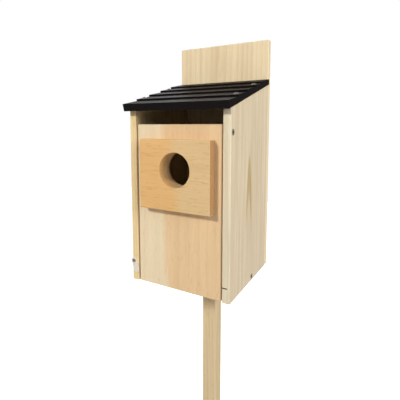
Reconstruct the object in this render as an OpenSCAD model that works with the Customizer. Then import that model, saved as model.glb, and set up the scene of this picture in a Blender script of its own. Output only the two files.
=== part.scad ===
/* [Box] */
// Width over the outer faces of the two sides
box_w = 127; // [110:1:160]
// Depth of the sides, from their front edges to the back board
box_d = 115; // [100:1:140]
// Height of the sides at their front edges
front_h = 203; // [180:1:240]
// Thickness of each side
side_t = 8.8; // [6:0.2:12]
// Thickness of the back board
back_t = 8.8; // [6:0.2:12]
// Height of the back board, which rises above the roof
back_h = 291; // [285:1:340]
// Thickness of the floor
floor_t = 8.8; // [8:0.2:12]

/* [Front panel] */
// Thickness of the hinged front panel
panel_t = 8.8; // [7:0.2:12]
// How far the panel's face lies behind the front edges of the sides
panel_recess = 0.9; // [0.5:0.1:3]
// Gap between each long edge of the panel and the side beside it
panel_side_gap = 1.5; // [1:0.1:3]
// Ventilation gap between the top of the panel and the front edge of the roof
vent_gap = 17; // [10:1:25]
// Gap between the back of the panel and the front edge of the floor
panel_floor_gap = 0.4; // [0.3:0.1:1]
// Distance from the top of the panel down to the pivot screws
pivot_drop = 8; // [7:0.5:10]

/* [Guard plate] */
// Width of the thick plate round the entrance
plate_w = 88; // [70:1:92]
// Height of the plate
plate_h = 77; // [60:1:84]
// Thickness of the plate
plate_t = 11; // [6:0.5:20]
// Distance from the top of the panel down to the top of the plate
plate_drop = 16; // [14:0.5:20]
// How far the plate sits to the right of the middle
plate_shift = 1.5; // [-2:0.5:2]

/* [Entrance] */
// Diameter of the entrance hole
hole_d = 38; // [28:0.5:45]
// Distance from the top of the panel down to the middle of the hole
hole_drop = 48.5; // [44:0.5:52]
// How far the hole sits to the right of the middle
hole_shift = 3; // [-4:0.5:4]

/* [Roof] */
// Slope of the roof in degrees
roof_pitch = 16; // [8:1:20]
// Overhang of the roof in front of the sides, along its underside
roof_front_over = 8.6; // [6:0.2:20]
// Overhang of the roof past each side
roof_side_over = 1.5; // [0:0.5:6]
// Thickness of the flat board under the laps
roof_board_t = 4.4; // [3:0.2:8]
// Number of lapped strips on the roof
lap_count = 5; // [5:1:5]
// Thickness of a lap at its front edge
lap_butt_t = 4; // [3:0.1:6]
// Thickness of a lap at its rear edge
lap_edge_t = 1.9; // [1.5:0.1:2.8]

/* [Post] */
// Length of the square post above the ground
post_l = 610; // [300:10:1500]
// Width of each face of the post
post_w = 19; // [16:0.5:30]
// Distance from the front edges of the sides back to the middle of the post
post_set_back = 88; // [60:1:90]

/* [Turn button] */
// Length of the turn button
button_l = 19; // [18:0.5:22]
// Width of the turn button
button_w = 8; // [6:0.5:8]
// Thickness of the turn button
button_t = 1; // [0.8:0.1:2]
// Height of the turn button's screw above the bottom edge of the side
button_z = 24; // [20:1:40]
// How far the turn button's screw is set in from the side's outer face
button_inset = 3.2; // [2.5:0.1:3.4]
// Gap between the turned-aside button and the edge of the front panel
button_clear = 0.3; // [0.3:0.1:0.6]

/* [Eased edges] */
// Width of the small bevels on the sides' front arrises, the back board and the post
board_ease = 0.6; // [0.3:0.1:1.5]
// Width of the bevels round the front panel
panel_ease = 0.8; // [0.3:0.1:1.5]
// Width of the bevels round the guard plate
plate_ease = 0.6; // [0.3:0.1:2]
// Width of the bevel along the top front edge of the front panel
panel_top_ease = 1.5; // [1:0.1:2.5]

/* [Kerf] */
// Height of the saw kerf in the right side's front edge above its bottom edge
kerf_z = 16.2; // [14:0.2:30]
// Width of the saw cut
kerf_t = 1.3; // [0.8:0.1:2]
// How far the kerf runs across the front edge from the inner face
kerf_w = 6; // [3:0.5:6]
// How far the kerf runs back from the front edge
kerf_l = 9; // [5:0.5:12]

/* [Screws] */
// Diameter of the screw shanks
screw_d = 3.5; // [2.5:0.1:4]
// Diameter of the screw heads
head_d = 6.6; // [6:0.1:7.4]
// Height of the domed screw heads on the roof
dome_h = 1.8; // [1:0.1:2.5]
// Clearance round a screw in the board that it passes through, on the radius
screw_fit = 0.05; // [0.03:0.01:0.1]
// Distance of the front roof screws behind the front edges of the sides
roof_screw_front = 24; // [22:0.5:28]
// Distance of the rear roof screws behind the front edges of the sides
roof_screw_rear = 77; // [74:0.5:80]
// Height of the lower back screws above the bottom edge of the sides
back_screw_low = 40; // [20:1:80]
// Height of the upper back screws above the bottom edge of the sides
back_screw_high = 190; // [120:1:210]
// Distance of the floor screws behind the front edges of the sides
floor_screw_y = 66; // [40:1:80]

/* [Hidden] */
$fn = 48;
// The sides' front edges lie at front_y and the bottom of the box at base_z; the post's foot is the origin.
front_y = -post_set_back;
base_z = post_l;
half_w = box_w / 2;
inner_w = box_w - 2 * side_t;
side_mid = half_w - side_t / 2;
panel_w = inner_w - 2 * panel_side_gap;
panel_h = front_h - vent_gap;
panel_back = panel_recess + panel_t;
pivot_y = panel_recess + panel_t / 2;
pivot_z = panel_h - pivot_drop;
hole_z = panel_h - hole_drop;
cut = 1;
// Screw proportions
head_h = (head_d - screw_d) / 2;
tip_h = screw_d;
pivot_bite = 14;
screw_bite = 18;
slot_w = 0.9;
slot_depth = 1;
// Roof: the slope's own frame starts at the sides' front edges, u runs up the slope, v square to it.
roof_w = box_w + 2 * roof_side_over;
roof_run = box_d / cos(roof_pitch) + roof_front_over;
lap_pitch = roof_run / lap_count;
function slope_point(u, v) = [u * cos(roof_pitch) - v * sin(roof_pitch),
    front_h + u * sin(roof_pitch) + v * cos(roof_pitch)];
function lap_start(i) = lap_pitch * i - roof_front_over;
function rear_u(v) = (box_d + v * sin(roof_pitch)) / cos(roof_pitch);
function screw_u(y) = y / cos(roof_pitch);
function lap_index(u) = floor((u + roof_front_over) / lap_pitch);
function lap_top(u) = roof_board_t + lap_butt_t
    - (lap_butt_t - lap_edge_t) * (u - lap_start(lap_index(u))) / lap_pitch;
function seat_v(u) = lap_top(u + head_d / 2);

// Moves a shape from the box's frame, which starts at the sides' front bottom edges, to the part's frame.
module on_box() {
    translate([0, front_y, base_z]) children();
}

// Extrudes a profile drawn in Y and Z along X, centred on x, w wide.
module across(x, w) {
    translate([x - w / 2, 0, 0]) rotate([90, 0, 90]) linear_extrude(w) children();
}

// A countersunk screw along -Z whose head's face lies in the plane z = 0.
module flat_screw(l, d = screw_d) {
    difference() {
        union() {
            translate([0, 0, -head_h]) cylinder(h = head_h, d1 = d, d2 = head_d);
            translate([0, 0, tip_h - l]) cylinder(h = l - tip_h - head_h, d = d);
            translate([0, 0, -l]) cylinder(h = tip_h, d1 = 0.4, d2 = d);
        }
        for (a = [0, 90]) rotate([0, 0, a])
            translate([-head_d / 4, -slot_w / 2, -slot_depth]) cube([head_d / 2, slot_w, slot_depth + cut]);
    }
}

// A domed screw along -Z whose head stands on the plane z = 0.
module dome_screw(l, d = screw_d) {
    dome_r = (pow(head_d / 2, 2) + pow(dome_h, 2)) / (2 * dome_h);
    difference() {
        union() {
            intersection() {
                translate([0, 0, dome_h - dome_r]) sphere(r = dome_r);
                cylinder(h = dome_h + cut, d = head_d + cut);
            }
            translate([0, 0, tip_h - l]) cylinder(h = l - tip_h, d = d);
            translate([0, 0, -l]) cylinder(h = tip_h, d1 = 0.4, d2 = d);
        }
        for (a = [0, 90]) rotate([0, 0, a])
            translate([-head_d / 4, -slot_w / 2, dome_h - slot_depth]) cube([head_d / 2, slot_w, slot_depth + cut]);
    }
}

// The hole that a screw of length l fills, open above z = 0.
module screw_hole(l, clearance, countersunk = true) {
    translate([0, 0, -l]) cylinder(h = l + cut, d = screw_d + 2 * clearance);
    if (countersunk)
        translate([0, 0, -head_h]) cylinder(h = head_h, d1 = screw_d + 2 * clearance, d2 = head_d + 2 * clearance);
    if (countersunk) cylinder(h = cut, d = head_d + 2 * clearance);
}

// Frames of the screws: each puts its child's z = 0 plane on the face that the head sits in.
module at_pivot(s) {
    translate([s * half_w, pivot_y, pivot_z]) rotate([0, s * 90, 0]) children();
}

module at_floor_screw(s) {
    translate([s * half_w, floor_screw_y, floor_t / 2]) rotate([0, s * 90, 0]) children();
}

module at_back_screw(s, z) {
    translate([s * side_mid, box_d + back_t, z]) rotate([-90, 0, 0]) children();
}

module at_roof_screw(s, y) {
    u = screw_u(y);
    p = slope_point(u, seat_v(u));
    translate([s * side_mid, p[0], p[1]]) rotate([roof_pitch, 0, 0]) children();
}

module at_post_screw() {
    translate([0, post_set_back, floor_t]) children();
}

module at_button() {
    translate([button_screw_x, 0, button_z]) rotate([90, 0, 0]) children();
}

pivot_l = side_t + panel_side_gap + pivot_bite;
floor_screw_l = side_t + screw_bite;
back_screw_l = back_t + screw_bite;
roof_screw_l = roof_board_t + lap_butt_t + screw_bite;
post_screw_l = floor_t + 2 * screw_bite;
// The turn button turns on a screw near the outer arris of the left side's front edge. It hangs just clear
// of the front panel, so that the panel can swing out past it.
button_screw_x = button_inset - half_w;
button_reach = button_l - button_w;
button_turn = asin((side_t + panel_side_gap - button_clear - button_inset - button_w / 2) / button_reach);
button_gap = 0.1;
button_head_d = 3.8;
button_head_h = 1.2;
button_slot_h = 0.6;
button_screw_l = 15;
button_screw_d = 2.2;

// A rectangle from the origin to [a, b], with its corners cut at 45 degrees.
module eased_rectangle(a, b, e) {
    polygon([[e, 0], [a - e, 0], [a, e], [a, b - e], [a - e, b], [e, b], [0, b - e], [0, e]]);
}

// A block from the origin to [a, b, c] whose twelve arrises are bevelled by e.
module eased_block(a, b, c, e) {
    intersection() {
        linear_extrude(c) eased_rectangle(a, b, e);
        rotate([90, 0, 90]) linear_extrude(a) eased_rectangle(b, c, e);
        translate([0, b, 0]) rotate([90, 0, 0]) linear_extrude(b) eased_rectangle(a, c, e);
    }
}

module back_board() color("burlywood") on_box() difference() {
    translate([-half_w, box_d, 0]) eased_block(box_w, back_t, back_h, board_ease);
    for (s = [-1, 1], z = [back_screw_low, back_screw_high])
        at_back_screw(s, z) screw_hole(back_screw_l, screw_fit);
}

module side_board(s) {
    difference() {
        intersection() {
            across(s * side_mid, side_t)
                polygon([[0, 0], [box_d, 0], [box_d, front_h + box_d * tan(roof_pitch)], [0, front_h]]);
            translate([s * side_mid - side_t / 2, 0, 0]) linear_extrude(back_h)
                polygon([[board_ease, 0], [side_t - board_ease, 0], [side_t, board_ease], [side_t, box_d],
                    [0, box_d], [0, board_ease]]);
        }
        at_pivot(s) screw_hole(pivot_l, screw_fit);
        at_floor_screw(s) screw_hole(floor_screw_l, screw_fit);
        for (z = [back_screw_low, back_screw_high]) at_back_screw(s, z) screw_hole(back_screw_l, screw_fit);
        for (y = [roof_screw_front, roof_screw_rear]) at_roof_screw(s, y) screw_hole(roof_screw_l, screw_fit, false);
    }
}

module left_side() color("wheat") on_box() difference() {
    side_board(-1);
    at_button() translate([0, 0, -button_screw_l]) cylinder(h = button_screw_l + cut, d = button_screw_d + 2 * screw_fit);
}

module right_side() color("wheat") on_box() difference() {
    side_board(1);
    translate([half_w - side_t - cut, -cut, kerf_z - kerf_t / 2]) cube([kerf_w + cut, kerf_l + cut, kerf_t]);
}

module floor_board() color("burlywood") on_box() difference() {
    translate([-inner_w / 2, panel_back + panel_floor_gap, 0])
        cube([inner_w, box_d - panel_back - panel_floor_gap, floor_t]);
    for (s = [-1, 1]) at_floor_screw(s) screw_hole(floor_screw_l, screw_fit);
    at_post_screw() screw_hole(post_screw_l, screw_fit);
}

module front_panel() color("tan") on_box() difference() {
    translate([-panel_w / 2, panel_recess, 0]) eased_block(panel_w, panel_t, panel_h, panel_ease);
    translate([-panel_w, panel_recess, panel_h - panel_top_ease]) rotate([45, 0, 0])
        translate([0, -panel_t, 0]) cube([2 * panel_w, 2 * panel_t, panel_t]);
    translate([hole_shift, panel_recess - cut, hole_z]) rotate([-90, 0, 0]) cylinder(h = panel_t + 2 * cut, d = hole_d);
    for (s = [-1, 1]) at_pivot(s) screw_hole(pivot_l + cut, screw_fit);
}

module guard_plate() color("peru") on_box() difference() {
    translate([plate_shift - plate_w / 2, panel_recess - plate_t, panel_h - plate_drop - plate_h])
        eased_block(plate_w, plate_t, plate_h, plate_ease);
    translate([hole_shift, panel_recess - plate_t - cut, hole_z]) rotate([-90, 0, 0])
        cylinder(h = plate_t + 2 * cut, d = hole_d);
}

module roof_board() color("dimgray") on_box() difference() {
    across(0, roof_w)
        polygon([slope_point(-roof_front_over, 0), slope_point(rear_u(0), 0),
            slope_point(rear_u(roof_board_t), roof_board_t), slope_point(-roof_front_over, roof_board_t)]);
    roof_screw_holes();
}

module roof_lap(i) color("black") on_box() difference() {
    top_front = roof_board_t + lap_butt_t;
    top_rear = roof_board_t + lap_edge_t;
    last = i == lap_count - 1;
    across(0, roof_w)
        polygon([slope_point(lap_start(i), roof_board_t),
            slope_point(last ? rear_u(roof_board_t) : lap_start(i + 1), roof_board_t),
            slope_point(last ? rear_u(top_rear) : lap_start(i + 1), top_rear),
            slope_point(lap_start(i), top_front)]);
    roof_screw_holes();
}

module roof_screw_holes() {
    for (s = [-1, 1], y = [roof_screw_front, roof_screw_rear]) at_roof_screw(s, y) {
        screw_hole(roof_screw_l, screw_fit, false);
        cylinder(h = head_d, d = head_d + 2 * screw_fit);
    }
}

module post() color("tan") difference() {
    translate([-post_w / 2, -post_w / 2, 0]) linear_extrude(post_l) eased_rectangle(post_w, post_w, board_ease);
    on_box() at_post_screw() screw_hole(post_screw_l, screw_fit);
}

module turn_button() color("silver") on_box() at_button() rotate([0, 0, button_turn])
    translate([0, 0, button_gap]) difference() {
        union() {
            cylinder(h = button_t, d = button_w);
            translate([-button_w / 2, -button_reach, 0]) cube([button_w, button_reach, button_t]);
            translate([0, -button_reach, 0]) cylinder(h = button_t, d = button_w);
        }
        translate([0, 0, -cut]) cylinder(h = button_t + 2 * cut, d = button_screw_d + 2 * screw_fit);
    }

module button_screw() color("gray") on_box() at_button() {
    translate([0, 0, button_gap + button_t + button_gap]) difference() {
        cylinder(h = button_head_h, d = button_head_d);
        translate([-button_head_d, -slot_w / 2, button_slot_h]) cube([2 * button_head_d, slot_w, button_head_h]);
    }
    translate([0, 0, tip_h - button_screw_l]) cylinder(h = button_screw_l - tip_h + 2 * button_gap + button_t, d = button_screw_d);
    translate([0, 0, -button_screw_l]) cylinder(h = tip_h, d1 = 0.4, d2 = button_screw_d);
}

module pivot_screw(s) color("dimgray") on_box() at_pivot(s) flat_screw(pivot_l);
module floor_screw(s) color("dimgray") on_box() at_floor_screw(s) flat_screw(floor_screw_l);
module back_screw(s, z) color("silver") on_box() at_back_screw(s, z) flat_screw(back_screw_l);
module roof_screw(s, y) color("silver") on_box() at_roof_screw(s, y) dome_screw(roof_screw_l);
module post_screw() color("silver") on_box() at_post_screw() flat_screw(post_screw_l);

back_board();
left_side();
right_side();
floor_board();  // floor
front_panel();
guard_plate();
roof_board();
roof_lap(0);  // roof_lap_1
roof_lap(1);  // roof_lap_2
roof_lap(2);  // roof_lap_3
roof_lap(3);  // roof_lap_4
roof_lap(4);  // roof_lap_5
post();
pivot_screw(-1);  // pivot_screw_left
pivot_screw(1);  // pivot_screw_right
floor_screw(-1);  // floor_screw_left
floor_screw(1);  // floor_screw_right
roof_screw(-1, roof_screw_front);  // roof_screw_front_left
roof_screw(1, roof_screw_front);  // roof_screw_front_right
roof_screw(-1, roof_screw_rear);  // roof_screw_rear_left
roof_screw(1, roof_screw_rear);  // roof_screw_rear_right
back_screw(-1, back_screw_low);  // back_screw_low_left
back_screw(1, back_screw_low);  // back_screw_low_right
back_screw(-1, back_screw_high);  // back_screw_high_left
back_screw(1, back_screw_high);  // back_screw_high_right
post_screw();
turn_button();
button_screw();
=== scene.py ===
import math

import bpy
from mathutils import Euler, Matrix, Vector


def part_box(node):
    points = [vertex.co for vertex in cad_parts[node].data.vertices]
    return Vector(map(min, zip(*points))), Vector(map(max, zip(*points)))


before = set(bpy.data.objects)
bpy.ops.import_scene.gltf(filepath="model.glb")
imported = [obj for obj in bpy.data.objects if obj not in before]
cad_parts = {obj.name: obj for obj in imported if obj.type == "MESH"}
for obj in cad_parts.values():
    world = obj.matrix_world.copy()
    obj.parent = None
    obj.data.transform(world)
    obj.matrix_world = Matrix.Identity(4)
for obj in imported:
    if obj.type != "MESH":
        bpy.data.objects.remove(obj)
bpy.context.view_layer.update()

# Floor and light
# The birdhouse stands on a white studio floor that runs on into a white surround. A small lamp high on the left
# front throws the short shadow under the entrance plate. Two large soft lamps light the side and the back.
scene = bpy.context.scene
scene.view_settings.view_transform = "Standard"

floor_width = 6
bpy.ops.mesh.primitive_plane_add(size=floor_width)
ground = bpy.context.object
ground.name = "studio_floor"

ground_paint = bpy.data.materials.new("studio_floor_paint")
ground_paint.use_nodes = True
paint_nodes = ground_paint.node_tree.nodes
paint_links = ground_paint.node_tree.links
matt = paint_nodes["Principled BSDF"]
matt.inputs["Base Color"].default_value = (0.8, 0.8, 0.8, 1)
matt.inputs["Roughness"].default_value = 0.9
white = paint_nodes.new("ShaderNodeEmission")
seen_by_camera = paint_nodes.new("ShaderNodeLightPath")
paint_links.new(seen_by_camera.outputs["Is Camera Ray"], white.inputs["Strength"])
both = paint_nodes.new("ShaderNodeAddShader")
paint_links.new(matt.outputs[0], both.inputs[0])
paint_links.new(white.outputs[0], both.inputs[1])
paint_links.new(both.outputs[0], paint_nodes["Material Output"].inputs["Surface"])
ground.data.materials.append(ground_paint)

world = bpy.data.worlds.new("studio")
scene.world = world
world.use_nodes = True
world_nodes = world.node_tree.nodes
world_links = world.node_tree.links
fill = world_nodes["Background"]
fill.inputs["Color"].default_value = (1, 1, 1, 1)
fill.inputs["Strength"].default_value = 0.15
seen = world_nodes.new("ShaderNodeBackground")
seen.inputs["Color"].default_value = (1, 1, 1, 1)
seen.inputs["Strength"].default_value = 1
ray = world_nodes.new("ShaderNodeLightPath")
surround = world_nodes.new("ShaderNodeMixShader")
world_links.new(ray.outputs["Is Camera Ray"], surround.inputs["Fac"])
world_links.new(fill.outputs[0], surround.inputs[1])
world_links.new(seen.outputs[0], surround.inputs[2])
world_links.new(surround.outputs[0], world_nodes["World Output"].inputs["Surface"])

middle = Vector([(low + high) / 2 for low, high in zip(*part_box("back_board"))])
for name, size, power, away, tint in (
    ("key_lamp", 0.28, 26.5, (-0.55, -1.65, 1.0), (1.0, 0.98, 0.96)),
    ("side_lamp", 1.2, 33, (1.7, -0.45, 0.8), (1.0, 1.0, 1.0)),
    ("rear_lamp", 1.2, 10, (-0.8, 1.5, 1.2), (1.0, 1.0, 1.0)),
):
    lamp_data = bpy.data.lights.new(name, "AREA")
    lamp_data.size = size
    lamp_data.energy = power
    lamp_data.color = tint
    lamp = bpy.data.objects.new(name, lamp_data)
    scene.collection.objects.link(lamp)
    lamp.location = middle + Vector(away)
    lamp.rotation_euler = (middle - lamp.location).to_track_quat("-Z", "Y").to_euler()

# Camera
# It stands close to the box, to the right of the middle and level with the entrance plate, and looks a little
# down and to the left.
side_low, side_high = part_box("right_side")
to_the_right, before_the_sides, above_the_base = 0.1959, 0.3079, 0.1845
pitch_down, turn_left = 5.85, 29.04
camera_data = bpy.data.cameras.new("camera")
camera = bpy.data.objects.new("camera", camera_data)
scene.collection.objects.link(camera)
scene.camera = camera
camera_data.sensor_width = 36
camera_data.lens = 30.5
camera_data.shift_x = 0.008
camera_data.shift_y = -0.099
camera_data.clip_start = 0.01
camera.location = (to_the_right, side_low[1] - before_the_sides, side_low[2] + above_the_base)
camera.rotation_euler = Euler((math.radians(90 - pitch_down), 0, math.radians(turn_left)))


# Pine boards
# The box is planed softwood, left bare. Every board is sawn from a log, so its grain is a slice through growth
# rings: rings round a pith line that runs along the board, pushed about by slow noise, with fine fibres on top.
def linear(red, green, blue):
    return tuple(
        c / 12.92 if c <= 0.04045 else ((c + 0.055) / 1.055) ** 2.4 for c in (red / 255, green / 255, blue / 255)
    ) + (1.0,)


class Board:
    """A node material that is built up from small steps."""

    def __init__(self, name):
        self.material = bpy.data.materials.new(name)
        self.material.use_nodes = True
        self.nodes = self.material.node_tree.nodes
        self.links = self.material.node_tree.links
        self.shader = self.nodes["Principled BSDF"]

    def feed(self, socket, value):
        if isinstance(value, (int, float, tuple)):
            socket.default_value = value
        else:
            self.links.new(value, socket)

    def place(self, turn=(0, 0, 0), shift=(0, 0, 0), scale=(1, 1, 1)):
        coordinates = self.nodes.new("ShaderNodeTexCoord")
        mapping = self.nodes.new("ShaderNodeMapping")
        mapping.vector_type = "POINT"
        mapping.inputs["Location"].default_value = shift
        mapping.inputs["Rotation"].default_value = turn
        mapping.inputs["Scale"].default_value = scale
        self.links.new(coordinates.outputs["Object"], mapping.inputs["Vector"])
        return mapping.outputs["Vector"]

    def axis(self, letter):
        split = self.nodes.new("ShaderNodeSeparateXYZ")
        self.links.new(self.place(), split.inputs[0])
        return split.outputs[letter]

    def vector(self, operation, first, second):
        node = self.nodes.new("ShaderNodeVectorMath")
        node.operation = operation
        self.feed(node.inputs[0], first)
        self.feed(node.inputs[1], second)
        return node.outputs["Value" if operation == "LENGTH" else "Vector"]

    def stretch(self, vector, along):
        return self.vector("MULTIPLY", vector, (1, 1, along))

    def noise(self, vector, scale, detail, rough=0.5):
        node = self.nodes.new("ShaderNodeTexNoise")
        node.inputs["Scale"].default_value = scale
        node.inputs["Detail"].default_value = detail
        node.inputs["Roughness"].default_value = rough
        self.links.new(vector, node.inputs["Vector"])
        return node.outputs["Fac"], node.outputs["Color"]

    def math(self, operation, first, second=0.0):
        node = self.nodes.new("ShaderNodeMath")
        node.operation = operation
        self.feed(node.inputs[0], first)
        self.feed(node.inputs[1], second)
        return node.outputs["Value"]

    def ramp(self, value, *stops):
        node = self.nodes.new("ShaderNodeValToRGB")
        bands = node.color_ramp.elements
        while len(bands) < len(stops):
            bands.new(0.5)
        for band, (place, colour) in zip(bands, stops):
            band.position = place
            band.color = colour
        self.links.new(value, node.inputs["Fac"])
        return node.outputs["Color"]

    def mix(self, amount, first, second, mode="MIX"):
        node = self.nodes.new("ShaderNodeMix")
        node.data_type = "RGBA"
        node.blend_type = mode
        for number, value in ((0, amount), (6, first), (7, second)):
            self.feed(node.inputs[number], value)
        return node.outputs[2]

    def stain(self, where, colour, tone):
        return self.mix(where, colour, self.mix(1.0, colour, tone, "MULTIPLY"))

    def bump(self, height, distance, strength=1.0, under=None):
        node = self.nodes.new("ShaderNodeBump")
        node.inputs["Distance"].default_value = distance
        node.inputs["Strength"].default_value = strength
        self.links.new(height, node.inputs["Height"])
        if under is not None:
            self.links.new(under, node.inputs["Normal"])
        return node.outputs["Normal"]


WHITE = (1, 1, 1, 1)
BLACK = (0, 0, 0, 1)
EARLY_WOOD = (0.1, 0.1, 0.1, 1)
# Near-black painted shade for the walls inside the saw kerf.
PAINTED_KERF_SHADE = (0.006, 0.004, 0.003, 1)
END_SKIN = 0.0003
EDGE_SKIN = 0.0004
GRAIN_RELIEF = 0.00012


def pine(name, pale, deep, pith, turn=(0, 0, 0), ring=0.0042, wander=0.011, contrast=0.5,
         streaking=0.6, fleck=0.5, heart=None, ends=None, edge_highlight=None, flame=None, kerf_shade=None):
    board = Board(name)
    grain = board.place(turn, pith)

    # growth rings, each one ending in a dark line of late wood
    drift = board.noise(board.stretch(grain, 0.16), scale=14, detail=2)[1]
    drift = board.vector("SUBTRACT", drift, (0.5, 0.5, 0.5))
    drift = board.vector("MULTIPLY", drift, (wander, wander, 0))
    across = board.stretch(board.vector("ADD", grain, drift), 0.035)
    season = board.math("FRACT", board.math("DIVIDE", board.vector("LENGTH", across, (0, 0, 0)), ring))
    late = board.ramp(season, (0.0, BLACK), (0.5, EARLY_WOOD), (0.88, WHITE), (0.98, BLACK))
    uneven = board.noise(board.stretch(grain, 0.1), scale=70, detail=2)[0]
    late = board.math("MULTIPLY", late, board.math("MULTIPLY", uneven, 1.4))
    colour = board.mix(board.math("MULTIPLY", late, contrast), pale, deep)

    # from fine to coarse: fibres, short resin dashes, streaks and cloudy patches
    fibre = board.noise(board.stretch(grain, 0.03), scale=1300, detail=3, rough=0.6)[0]
    dash = board.noise(board.stretch(grain, 0.13), scale=760, detail=2)[0]
    streak = board.noise(board.stretch(grain, 0.03), scale=150, detail=4, rough=0.65)[0]
    cloud = board.noise(board.stretch(grain, 0.3), scale=26, detail=2)[0]
    patchy = board.math("SUBTRACT", cloud, 0.5)

    if heart is not None:
        beyond = board.math("ADD", board.axis("X"), board.math("MULTIPLY", patchy, 4 * heart["softness"]))
        beyond = board.math("DIVIDE", board.math("SUBTRACT", beyond, heart["border"]), heart["softness"])
        colour = board.stain(board.ramp(beyond, (0.0, BLACK), (1.0, WHITE)), colour, heart["tone"])

    clouds = board.ramp(cloud, (0.3, (0.94, 0.92, 0.90, 1)), (0.7, WHITE))
    colour = board.mix(0.8, colour, clouds, "MULTIPLY")
    streaks = board.ramp(streak, (0.34, (0.84, 0.80, 0.75, 1)), (0.6, WHITE))
    colour = board.mix(streaking, colour, streaks, "MULTIPLY")
    fibres = board.ramp(fibre, (0.32, (0.93, 0.91, 0.88, 1)), (0.6, WHITE))
    colour = board.mix(0.7, colour, fibres, "MULTIPLY")
    dashes = board.ramp(dash, (0.60, WHITE), (0.72, (0.84, 0.74, 0.64, 1)))
    colour = board.mix(fleck, colour, dashes, "MULTIPLY")

    if ends is not None:
        at_left = board.math("LESS_THAN", board.axis("X"), ends["left"] + END_SKIN)
        at_right = board.math("GREATER_THAN", board.axis("X"), ends["right"] - END_SKIN)
        colour = board.stain(board.math("MAXIMUM", at_left, at_right), colour, ends["tone"])
    # The front edge face is multiplied lighter by its tone: a painted highlight on the face turned to the light.
    if edge_highlight is not None:
        highlit_edge = board.math("LESS_THAN", board.axis("Y"), edge_highlight["face"] + EDGE_SKIN)
        colour = board.stain(highlit_edge, colour, edge_highlight["tone"])
    if flame is not None:
        aside = board.math("DIVIDE", board.math("SUBTRACT", board.axis("Y"), flame["centre"]), flame["wide"])
        down = board.math("DIVIDE", board.math("SUBTRACT", flame["top"], board.axis("Z")), flame["tall"])
        arch = board.math("SUBTRACT", down, board.math("MULTIPLY", aside, aside))
        arch = board.math("ADD", arch, board.math("MULTIPLY", patchy, 0.5))
        rim = board.ramp(arch, (0.0, BLACK), (0.1, WHITE), (0.5, WHITE), (0.75, BLACK))
        fading = board.ramp(board.math("MULTIPLY", down, 0.6), (0.5, WHITE), (0.8, BLACK))
        colour = board.stain(board.math("MULTIPLY", rim, fading), colour, flame["tone"])
    # The walls inside the saw kerf in the right side's front edge are coloured near black: painted shade in the
    # slot.
    if kerf_shade is not None:
        off = board.math("ABSOLUTE", board.math("SUBTRACT", board.axis("Z"), kerf_shade["height"]))
        kerf_shade_mask = board.math("LESS_THAN", off, kerf_shade["half"])
        kerf_shade_mask = board.math("MULTIPLY", kerf_shade_mask, board.math("GREATER_THAN", board.axis("Y"), kerf_shade["near"]))
        kerf_shade_mask = board.math("MULTIPLY", kerf_shade_mask, board.math("LESS_THAN", board.axis("Y"), kerf_shade["far"]))
        kerf_shade_mask = board.math("MULTIPLY", kerf_shade_mask, board.math("LESS_THAN", board.axis("X"), kerf_shade["outer"]))
        colour = board.mix(kerf_shade_mask, colour, PAINTED_KERF_SHADE)

    board.links.new(colour, board.shader.inputs["Base Color"])
    board.links.new(board.math("ADD", board.math("MULTIPLY", fibre, 0.2), 0.5), board.shader.inputs["Roughness"])
    board.shader.inputs["Specular IOR Level"].default_value = 0.25
    relief = board.bump(fibre, GRAIN_RELIEF, 0.6)
    board.links.new(board.bump(late, GRAIN_RELIEF, 0.4, relief), board.shader.inputs["Normal"])
    return board.material


def finish(material, *names):
    for name in names:
        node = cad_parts[name]
        node.data.materials.clear()
        node.data.materials.append(material)


# Sides
# Two boards of flat-sawn pine with the grain upright. Their front edges are painted lighter, a painted highlight
# on the faces turned to the light. The right one has a pointed flame in its grain, half way up, and a saw kerf in
# its front edge whose walls are painted near black as painted shade.
front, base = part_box("left_side")[0][1:]
side_middle = (side_low[0] + side_high[0]) / 2
finish(
    pine("left_side_pine", linear(234, 211, 168), linear(206, 168, 118),
         pith=(0.085, -front + 0.01, -base), ring=0.0036, contrast=0.35,
         # front edge tone: painted highlight
         edge_highlight={"face": front, "tone": (1.08, 1.08, 1.0, 1)}),
    "left_side",
)
finish(
    pine("right_side_pine", linear(224, 208, 180), linear(190, 172, 132),
         pith=(-side_middle + 0.016, -front - 0.052, -base), turn=(0, math.radians(0.8), 0),
         ring=0.0062, wander=0.013, contrast=0.34, streaking=0.7, fleck=0.25,
         # front edge tone: a lighter, cooler painted highlight
         edge_highlight={"face": front, "tone": (1.08, 1.15, 1.2, 1)},
         flame={"top": base + 0.152, "centre": front + 0.053, "tall": 0.070, "wide": 0.0095,
                "tone": (0.80, 0.74, 0.55, 1)},
         # the saw kerf's walls: painted shade
         kerf_shade={"height": base + 0.0162, "half": 0.0008, "near": front + 0.0003, "far": front + 0.0095,
               "outer": side_high[0] - 0.002}),
    "right_side",
)

# Back board and floor
# One long board closes the back and stands up behind the roof. The floor is cut from the same stock, with its
# grain lying front to back.
finish(
    pine("back_board_pine", linear(240, 221, 183), linear(206, 172, 124),
         pith=(0.014, -front - 0.155, -base), turn=(math.radians(-0.6), 0, 0),
         ring=0.0056, wander=0.013, contrast=0.34, streaking=0.5, fleck=0.3),
    "back_board",
)
finish(
    pine("floor_pine", linear(222, 200, 160), linear(186, 150, 104),
         pith=(0.03, base - 0.03, front), turn=(math.radians(90), 0, 0),
         ring=0.0045, wander=0.012, contrast=0.4),
    "floor",
)

# Front panel
# The hinged front is one board with a band of pale sapwood down its left and warmer heartwood to the right.
# Its rings are wide and faint.
finish(
    pine("front_panel_pine", linear(237, 219, 185), linear(206, 166, 118),
         pith=(0.03, -front - 0.05, -base), turn=(0, math.radians(-1), 0),
         ring=0.007, wander=0.02, contrast=0.16, streaking=0.28, fleck=0.55,
         heart={"border": -0.021, "softness": 0.010, "tone": (0.93, 0.80, 0.68, 1)}),
    "front_panel",
)

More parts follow.
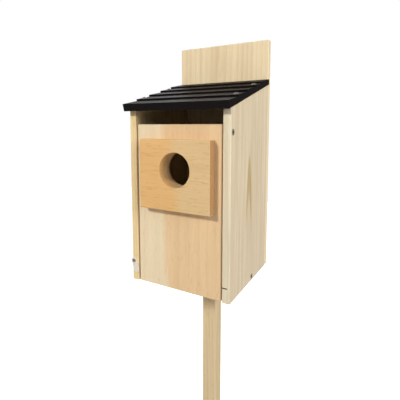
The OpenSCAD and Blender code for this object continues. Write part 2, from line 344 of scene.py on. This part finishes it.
# Guard plate
# A thick block of redder, close-grained wood round the entrance, with its grain lying across. It pales towards
# the right, and its sawn ends are darker.
plate_low, plate_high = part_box("guard_plate")
finish(
    pine("guard_plate_pine", linear(226, 182, 122), linear(204, 154, 96),
         pith=(-base - 0.15, -front - 0.03, 0.02), turn=(0, math.radians(90), 0),
         ring=0.0026, wander=0.008, contrast=0.18, streaking=0.25, fleck=0.9,
         heart={"border": -0.005, "softness": 0.014, "tone": (0.95, 1.10, 1.36, 1)},
         ends={"left": plate_low[0], "right": plate_high[0], "tone": (0.62, 0.50, 0.42, 1)}),
    "guard_plate",
)

# Post
# A slim square stake of sawn pine, a little greyer than the box. The grain runs up it, and the pith lies
# outside one corner.
finish(
    pine("post_pine", linear(220, 199, 160), linear(180, 148, 106),
         pith=(0.02, 0.012, 0), ring=0.0036, wander=0.006, contrast=0.35, streaking=0.5),
    "post",
)

# Roof
# Five bevelled strips on a board, flooded with black-brown paint that has been brushed from end to end. The
# brush marks and a few duller patches run along the strips.
paint = Board("roof_paint")
stroke = paint.noise(paint.place(scale=(0.03, 1, 1)), scale=900, detail=3, rough=0.65)[0]
patch = paint.noise(paint.place(scale=(0.3, 1, 1)), scale=40, detail=3)[0]
dull = paint.ramp(patch, (0.35, linear(10, 6, 5)), (0.7, linear(17, 11, 9)))
paint.links.new(paint.mix(stroke, dull, linear(15, 9, 8)), paint.shader.inputs["Base Color"])
paint.links.new(paint.math("ADD", paint.math("MULTIPLY", stroke, 0.3), 0.4), paint.shader.inputs["Roughness"])
paint.shader.inputs["Specular IOR Level"].default_value = 0.14
paint.links.new(paint.bump(stroke, 0.00025, 0.7), paint.shader.inputs["Normal"])
finish(paint.material, "roof_board", *[f"roof_lap_{number}" for number in range(1, 6)])


# Screws and turn button
# Bright zinc on the roof, the back and the floor's middle. The heads at the pivots, at the floor's edges and in
# the turn button have weathered, and the button itself is pale and dull.
def steel(name, colour, grime, rough, metallic=1.0):
    metal = Board(name)
    spots = metal.noise(metal.place(), scale=900, detail=4, rough=0.6)[0]
    metal.links.new(metal.ramp(spots, (0.35, colour), (0.7, grime)), metal.shader.inputs["Base Color"])
    metal.links.new(metal.math("ADD", metal.math("MULTIPLY", spots, 0.3), rough), metal.shader.inputs["Roughness"])
    metal.shader.inputs["Metallic"].default_value = metallic
    metal.links.new(metal.bump(spots, 0.00006, 0.6), metal.shader.inputs["Normal"])
    return metal.material


def nodes_named(*starts):
    return [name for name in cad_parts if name.startswith(starts)]


zinc = steel("zinc_plate", linear(214, 212, 206), linear(176, 172, 164), rough=0.2)
old_zinc = steel("weathered_steel", linear(196, 186, 168), linear(92, 80, 70), rough=0.35, metallic=0.8)
button_zinc = steel("button_zinc", linear(240, 232, 214), linear(222, 212, 194), rough=0.5, metallic=0.3)
finish(zinc, *nodes_named("roof_screw", "back_screw", "post_screw"))
finish(old_zinc, *nodes_named("pivot_screw", "floor_screw", "button_screw"))
finish(button_zinc, "turn_button")
